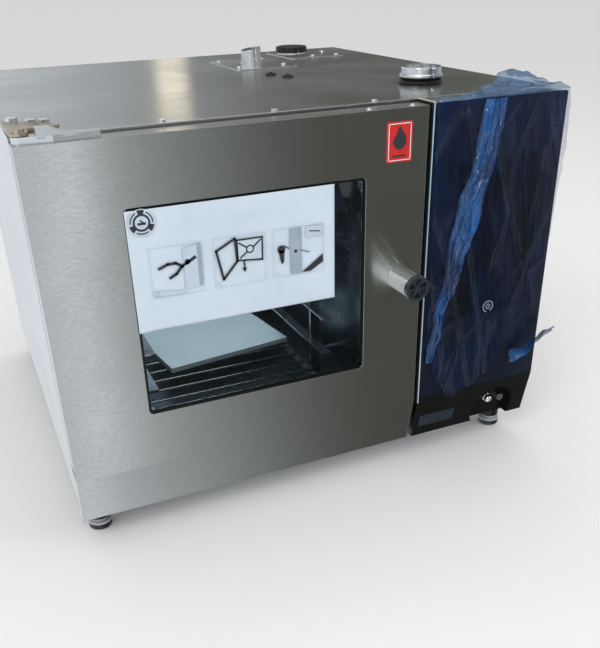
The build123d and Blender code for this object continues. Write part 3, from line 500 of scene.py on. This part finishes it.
def band_point(u, v):
    """A gathered fold of the same film, bright because it lies several layers deep."""
    middle = between(v, [(0.0, 0.2), (0.18, 0.213), (0.4, 0.237), (0.62, 0.262), (0.8, 0.283), (1.0, 0.293)])
    wide = between(v, [(0.0, 0.012), (0.12, 0.018), (0.35, 0.03), (0.55, 0.05), (0.75, 0.045), (1.0, 0.04)])
    z = 0.215 + v * (ROOF - 0.003 - 0.215)
    sway = 0.004 * noise.noise(Vector((v * 4.2, 2.1, 0.3)))
    x = middle + sway + (u - 0.5) * wide + 0.003 * noise.noise(Vector((u * 4, v * 9, 6.0)))
    pleat = abs(math.sin(math.pi * (u * 3.2 + 1.1 * noise.noise(Vector((u * 1.2, v * 5, 1.0))))))
    ridge = crest(Vector((u * 2.6 + v * 2.2, v * 10, 9.1)), 5)
    rim = between(u, [(0.0, 0.1), (0.12, 1.0), (0.86, 1.0), (1.0, 0.25)])
    end = between(v, [(0.0, 0.4), (0.05, 1.0), (0.93, 1.0), (1.0, 0.35)])
    off = film_height(x, z) + 0.0008 + (0.0045 * pleat + 0.004 * ridge + 0.001) * rim * end
    return Vector((x, PANEL_Y - off, z))


points, faces = grid(220, 26, band_point)
band = piece("film_fold_long", points, faces, film_fold, "cabinet")


def flap_point(u, v):
    """The loose lower corner, twisted outward past the panel's edge."""
    x = 0.372 + 0.083 * v
    drop = between(v, [(0.0, 0.196), (0.3, 0.204), (0.6, 0.222), (0.8, 0.239), (1.0, 0.241)])
    wide = between(v, [(0.0, 0.03), (0.4, 0.02), (0.6, 0.012), (0.8, 0.02), (1.0, 0.013)])
    turn = 1.9 * v + 0.3
    across = (u - 0.5) * wide
    curl = 0.003 * math.sin(6 * u + 4 * v)
    off = 0.007 + 0.014 * v + abs(across) * abs(math.sin(turn)) + curl
    return Vector((x + 0.1 * across, PANEL_Y - off, drop + across * (0.35 + 0.65 * abs(math.cos(turn)))))


points, faces = grid(40, 14, flap_point)
flap = piece("film_loose_corner", points, faces, film_fold, "cabinet")
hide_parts("protective_film")

# ======== instruction sheet on the window ========


def paper_point(u, v):
    x = PAPER_LOW.x + u * (PAPER_HIGH.x - PAPER_LOW.x)
    z = PAPER_LOW.z + v * (PAPER_HIGH.z - PAPER_LOW.z)
    wave = 0.0011 * noise.noise(Vector((x * 7, z * 5, 3.3)))
    dent = 0.0022 * math.exp(-(((x + 0.13) / 0.03) ** 2) - (((z - PAPER_HIGH.z + 0.02) / 0.014) ** 2))
    lift = 0.0022 * max(0.0, 1 - u * 14) * (1 - v)
    return Vector((x, PAPER_LOW.y - 0.0006 - abs(wave) - dent - lift, z))


points, faces = grid(60, 90, paper_point)
paper = piece("paper_sheet", points, faces, white_paper, "door")
solid = paper.modifiers.new("thick", "SOLIDIFY")
solid.thickness = 0.00025
solid.offset = -1
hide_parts("instruction_sheet")
PAPER_Y = PAPER_LOW.y - 0.0026


def outline(name, loops, material, body, y, thick=0.0003):
    """Flat printed shapes: each loop of (x, z) becomes a thin raised patch facing -Y."""
    bm = bmesh.new()
    for loop in loops:
        front = [bm.verts.new((x, y, z)) for x, z in loop]
        back = [bm.verts.new((x, y + thick, z)) for x, z in loop]
        bm.faces.new(front)
        bm.faces.new(back[::-1])
        for i in range(len(loop)):
            j = (i + 1) % len(loop)
            bm.faces.new((front[j], front[i], back[i], back[j]))
    bmesh.ops.triangulate(bm, faces=[f for f in bm.faces if len(f.verts) > 4])
    bmesh.ops.recalc_face_normals(bm, faces=bm.faces[:])
    mesh = bpy.data.meshes.new(name)
    bm.to_mesh(mesh)
    bm.free()
    mesh.materials.append(material)
    found = bpy.data.objects.new(name, mesh)
    scene.collection.objects.link(found)
    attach(found, body)
    return found


def stroke(points, wide):
    """The outline loops of a pen line through points, one quad for each run."""
    loops = []
    for a, b in zip(points, points[1:]):
        a, b = Vector(a), Vector(b)
        along = (b - a).normalized()
        side = Vector((-along.y, along.x)) * wide / 2
        reach = along * wide * 0.4
        corners = (a - reach + side, b + reach + side, b + reach - side, a - reach - side)
        loops.append([tuple(q) for q in corners])
    return loops


def ring(cx, cz, inner, outer, start=0.0, sweep=360.0, parts=40):
    loops = []
    for k in range(parts):
        a0 = math.radians(start + sweep * k / parts)
        a1 = math.radians(start + sweep * (k + 1) / parts)
        loops.append([
            (cx + inner * math.cos(a0), cz + inner * math.sin(a0)),
            (cx + outer * math.cos(a0), cz + outer * math.sin(a0)),
            (cx + outer * math.cos(a1), cz + outer * math.sin(a1)),
            (cx + inner * math.cos(a1), cz + inner * math.sin(a1)),
        ])
    return loops


def disc(cx, cz, r, parts=32):
    return [[(cx + r * math.cos(2 * math.pi * k / parts), cz + r * math.sin(2 * math.pi * k / parts))
             for k in range(parts)]]


def rect(x0, x1, z0, z1):
    return [[(x0, z0), (x1, z0), (x1, z1), (x0, z1)]]


BOXES = ((-0.282, -0.204), (-0.186, -0.105), (-0.092, -0.008))
BOX_Z = (0.4255, 0.5005)
rims = []
for x0, x1 in BOXES:
    rims += stroke([(x0, BOX_Z[0]), (x1, BOX_Z[0]), (x1, BOX_Z[1]), (x0, BOX_Z[1]), (x0, BOX_Z[0])], 0.0006)
    rims += ring(x0 + 0.007, BOX_Z[0] + 0.006, 0.0026, 0.0031)
outline("print_frames", rims, ink_light, "door", PAPER_Y)

a = BOXES[0][0]
shade_one = [
    [(a + 0.05, 0.432), (a + 0.071, 0.434), (a + 0.071, 0.4975), (a + 0.05, 0.4945)],
    [(a + 0.001, 0.436), (a + 0.05, 0.43), (a + 0.05, 0.4265), (a + 0.001, 0.428)],
]
deep_one = [[(a + 0.071, 0.434), (a + 0.0775, 0.436), (a + 0.0775, 0.4985), (a + 0.071, 0.4975)]]
pliers = stroke([(a + 0.013, 0.469), (a + 0.026, 0.474), (a + 0.038, 0.474), (a + 0.048, 0.468)], 0.0042)
pliers += stroke([(a + 0.028, 0.453), (a + 0.038, 0.458), (a + 0.046, 0.467), (a + 0.056, 0.473)], 0.0042)
pliers += stroke([(a + 0.055, 0.472), (a + 0.067, 0.4785)], 0.005)
pliers += disc(a + 0.0555, 0.4735, 0.0042)
b = BOXES[1][0]
leaf = [(b + 0.004, 0.482), (b + 0.034, 0.497), (b + 0.036, 0.462), (b + 0.013, 0.437), (b + 0.004, 0.482)]
door_draw = stroke(leaf, 0.0036)
opening = [(b + 0.037, 0.463), (b + 0.037, 0.494), (b + 0.077, 0.4935), (b + 0.076, 0.459), (b + 0.037, 0.463)]
door_draw += stroke(opening, 0.0026)
door_draw += stroke([(b + 0.047, 0.462), (b + 0.047, 0.448)], 0.0022)
door_draw += [[(b + 0.043, 0.45), (b + 0.051, 0.45), (b + 0.047, 0.443)]]
door_draw += ring(b + 0.057, 0.478, 0.0045, 0.0066)
door_draw += stroke([(b + 0.04, 0.489), (b + 0.052, 0.481)], 0.0024)
door_draw += stroke([(b + 0.063, 0.481), (b + 0.074, 0.49)], 0.0024)
door_draw += stroke([(b + 0.052, 0.474), (b + 0.041, 0.466)], 0.0024)
cavity_draw = rect(b + 0.038, b + 0.076, 0.4615, 0.4925)
c = BOXES[2][0]
post = [
    [(c + 0.028, 0.428), (c + 0.047, 0.4265), (c + 0.047, 0.499), (c + 0.028, 0.499)],
    [(c + 0.055, 0.4985), (c + 0.083, 0.4985), (c + 0.083, 0.4815), (c + 0.055, 0.4815)],
]
lever = disc(c + 0.0135, 0.469, 0.0062)
lever += [[(c + 0.0085, 0.468), (c + 0.0185, 0.467), (c + 0.017, 0.448), (c + 0.013, 0.446)]]
lever += stroke([(c + 0.018, 0.474), (c + 0.026, 0.469)], 0.0016)
lever += disc(c + 0.037, 0.463, 0.0028)
lever += stroke([(c + 0.044, 0.464), (c + 0.06, 0.4585)], 0.0011)
lever += [[(c + 0.047, 0.4275), (c + 0.083, 0.452), (c + 0.083, 0.4395), (c + 0.062, 0.4275)]]
lever += stroke([(c + 0.06, 0.4915), (c + 0.078, 0.489)], 0.0016)
outline("print_shades", shade_one + cavity_draw + post[1:], ink_light, "door", PAPER_Y)
outline("print_mid", deep_one + post[:1], ink_grey, "door", PAPER_Y - 0.0001)
outline("print_lines", pliers + door_draw + lever, ink_dark, "door", PAPER_Y - 0.0002)

# round sticker over the corner of the sheet
SPOT = (PAPER_LOW.x + 0.0225, PAPER_HIGH.z - 0.0175)
spot_y = PAPER_Y - 0.0004
outline("sticker_base", disc(*SPOT, 0.0195, 48), ink_light, "door", spot_y)
marks = ring(*SPOT, 0.0095, 0.0125)
for angle in (90, 210, 330):
    marks += ring(*SPOT, 0.0122, 0.0182, angle - 17, 34, 10)
    marks += ring(*SPOT, 0.0150, 0.0168, angle + 28, 64, 14)
marks += stroke([(SPOT[0] - 0.0045, SPOT[1] - 0.0015), (SPOT[0] + 0.0045, SPOT[1] - 0.0015)], 0.0035)
marks += stroke([(SPOT[0] - 0.0015, SPOT[1] + 0.0035), (SPOT[0] + 0.0025, SPOT[1] - 0.0005)], 0.002)
outline("sticker_marks", marks, ink_dark, "door", spot_y - 0.0002)

# ======== badge, power mark and small screws ========

badge_mid = (BADGE_LOW + BADGE_HIGH) / 2
badge_y = BADGE_LOW.y - 0.0004
outline(
    "badge_border",
    stroke([
        (BADGE_LOW.x + 0.003, BADGE_LOW.z + 0.003), (BADGE_HIGH.x - 0.003, BADGE_LOW.z + 0.003),
        (BADGE_HIGH.x - 0.003, BADGE_HIGH.z - 0.003), (BADGE_LOW.x + 0.003, BADGE_HIGH.z - 0.003),
        (BADGE_LOW.x + 0.003, BADGE_LOW.z + 0.003),
    ], 0.0012),
    print_white, "door", badge_y,
)
flame = [
    (badge_mid.x + dx, badge_mid.z + 0.004 + dz)
    for dx, dz in (
        (0, 0.02), (0.006, 0.011), (0.011, 0.003), (0.0115, -0.006), (0.007, -0.013), (0, -0.016),
        (-0.007, -0.013), (-0.0115, -0.006), (-0.010, 0.002), (-0.006, 0.006), (-0.005, 0.012),
    )
]
outline("badge_flame", [flame], ink_dark, "door", badge_y)
bar = rect(badge_mid.x - 0.012, badge_mid.x + 0.012, BADGE_LOW.z + 0.008, BADGE_LOW.z + 0.0105)
outline("badge_bar", bar, ink_dark, "door", badge_y)

POWER = (0.319, 0.301)
power = ring(*POWER, 0.0094, 0.0107, -60, 320) + ring(*POWER, 0.0036, 0.0048, 120, 300, 24)
power += stroke([(POWER[0], POWER[1] + 0.001), (POWER[0], POWER[1] + 0.0062)], 0.0013)
outline("power_mark", power, print_white, "cabinet", PANEL_Y - 0.0005)


def dome_screw(name, x, y, z, radius, body, material):
    """Low dome head with a round recess, standing on a surface at height z."""
    profile = [(0.0, 0.3), (0.42, 0.3), (0.42, 0.62), (0.62, 0.6), (0.86, 0.4), (1.0, 0.12), (1.0, 0.0)]
    parts = 24
    points = [Vector((x, y, z + 0.3 * radius))]
    for r, h in profile[1:]:
        for k in range(parts):
            a = 2 * math.pi * k / parts
            points.append(Vector((x + r * radius * math.cos(a), y + r * radius * math.sin(a), z + h * radius)))
    faces = [(0, 1 + k, 1 + (k + 1) % parts) for k in range(parts)]
    for row in range(len(profile) - 2):
        base = 1 + row * parts
        for k in range(parts):
            m = (k + 1) % parts
            faces.append((base + k, base + parts + k, base + parts + m, base + m))
    return piece(name, points, faces, material, body)


for number, x in enumerate((0.076, 0.151)):
    dome_screw(f"door_screw_{number}", x, FRONT + 0.012, DOOR_HIGH.z, 0.0042, "door", chrome)

# ======== studio ========

floor_mesh = bpy.data.meshes.new("studio_floor")
floor_mesh.from_pydata([(-40, -40, 0), (40, -40, 0), (40, 40, 0), (-40, 40, 0)], [], [(0, 1, 2, 3)])
floor = bpy.data.objects.new("studio_floor", floor_mesh)
scene.collection.objects.link(floor)
floor.data.materials.append(Look("floor_pale", (0.86, 0.86, 0.86), 0.9).material)
floor.visible_glossy = False

world = bpy.data.worlds.new("studio")
scene.world = world
world.use_nodes = True
sky = world.node_tree


def sky_node(kind, inputs=None, **props):
    n = sky.nodes.new(kind)
    for key, value in props.items():
        setattr(n, key, value)
    for key, value in (inputs or {}).items():
        if isinstance(value, bpy.types.NodeSocket):
            sky.links.new(value, n.inputs[key])
        else:
            n.inputs[key].default_value = value
    return n


def sky_math(how, a, b=0.0):
    return sky_node("ShaderNodeMath", {0: a, 1: b}, operation=how).outputs[0]


def sky_step(value, low, high, to_low=0.0, to_high=1.0):
    """A smooth step between two values."""
    inputs = {"Value": value, "From Min": low, "From Max": high, "To Min": to_low, "To Max": to_high}
    return sky_node("ShaderNodeMapRange", inputs, interpolation_type="SMOOTHSTEP").outputs[0]


def sky_mix(share, a, b):
    found = sky_node("ShaderNodeMix", data_type="RGBA")
    for key, value in (("Factor", share), ("A", a), ("B", b)):
        socket = next(s for s in found.inputs if s.name == key and s.enabled)
        if isinstance(value, bpy.types.NodeSocket):
            sky.links.new(value, socket)
        else:
            socket.default_value = value if key == "Factor" else (*value, 1)
    return next(s for s in found.outputs if s.enabled)


def strip_light(angle, middle, half, edge, share):
    """An upright strip light at a compass angle, in degrees, with soft edges."""
    off = sky_math("ABSOLUTE", sky_math("SUBTRACT", angle, math.radians(middle)))
    inside = sky_step(off, math.radians(half - edge), math.radians(half + edge), 1.0, 0.0)
    return sky_math("MULTIPLY", inside, share)


direction = sky_node("ShaderNodeSeparateXYZ", {0: sky_node("ShaderNodeTexCoord").outputs["Generated"]})
dx, dy, dz = (direction.outputs[k] for k in "XYZ")
toward = sky_math("ARCTAN2", dx, sky_math("MULTIPLY", dy, -1.0))
away = sky_math("ARCTAN2", dx, dy)

# a pale wall on the left, a dark screen on the right with a grey wall past it, and two strip lights
PALE_WALL = (0.85, 0.9, 0.95)
DARK_SCREEN = (0.09, 0.095, 0.08)
GREY_WALL = (0.42, 0.43, 0.43)
COOL_STRIP = (1.4, 1.45, 1.5)
WARM_STRIP = (1.6, 1.45, 1.15)
CEILING = (0.32, 0.33, 0.33)
LAMPS = (0.75, 0.75, 0.74)
room = sky_mix(sky_step(dx, -0.1, 0.45), PALE_WALL, DARK_SCREEN)
room = sky_mix(sky_step(dx, 0.56, 0.72), room, GREY_WALL)
room = sky_mix(strip_light(toward, 7, 1, 0.5, 0.9), room, COOL_STRIP)
room = sky_mix(strip_light(away, 15, 1, 0.5, 0.7), room, WARM_STRIP)
room = sky_mix(sky_step(dz, 0.25, 0.45), room, CEILING)
room = sky_mix(sky_step(dz, 0.86, 0.93), room, LAMPS)
rays = sky_node("ShaderNodeLightPath")
room_light = sky_node("ShaderNodeBackground", {"Color": room, "Strength": 1.0})
plain_light = sky_node("ShaderNodeBackground", {"Color": (1, 1, 1, 1), "Strength": 0.8})
picked = sky_node("ShaderNodeMixShader", {0: rays.outputs["Is Glossy Ray"], 1: plain_light.outputs[0],
                                          2: room_light.outputs[0]})
sky.links.new(picked.outputs[0], sky.nodes["World Output"].inputs["Surface"])


def soft_light(name, place, target, size, power, color=(1, 1, 1)):
    data = bpy.data.lights.new(name, "AREA")
    data.size = size
    data.energy = power
    data.color = color
    found = bpy.data.objects.new(name, data)
    scene.collection.objects.link(found)
    found.location = place
    found.rotation_euler = (Vector(target) - Vector(place)).to_track_quat("-Z", "Y").to_euler()
    return found


soft_light("key", (-2.2, -2.4, 2.9), (0, 0, 0.3), 1.6, 42)
soft_light("glint", (2.6, -2.6, 1.9), (0.3, -0.4, 0.4), 0.4, 14)
soft_light("top", (0.4, 0.6, 3.2), (0, 0, 0.5), 3.2, 16)
soft_light("cavity", (-0.13, -0.12, 0.59), (-0.13, -0.1, 0.2), 0.3, 1.4, (0.85, 0.95, 1.0))

# ======== camera ========

PLACE = Vector((-0.5100, -1.5036, 0.8509))
YAW, PITCH, ROLL = 0.3954, -0.5077, -0.0281
ahead = Vector((math.sin(YAW) * math.cos(PITCH), math.cos(YAW) * math.cos(PITCH), math.sin(PITCH)))
level = Vector((math.cos(YAW), -math.sin(YAW), 0))
over = level.cross(ahead)
side = level * math.cos(ROLL) + over * math.sin(ROLL)
top = over * math.cos(ROLL) - level * math.sin(ROLL)
camera_data = bpy.data.cameras.new("camera")
camera_data.lens = 43.74
camera_data.shift_x = 0.006
camera_data.shift_y = 0.1173
camera_data.clip_start = 0.05
camera_data.clip_end = 200
camera = bpy.data.objects.new("camera", camera_data)
scene.collection.objects.link(camera)
camera.matrix_world = Matrix.Translation(PLACE) @ Matrix((side, top, -ahead)).transposed().to_4x4()
scene.camera = camera
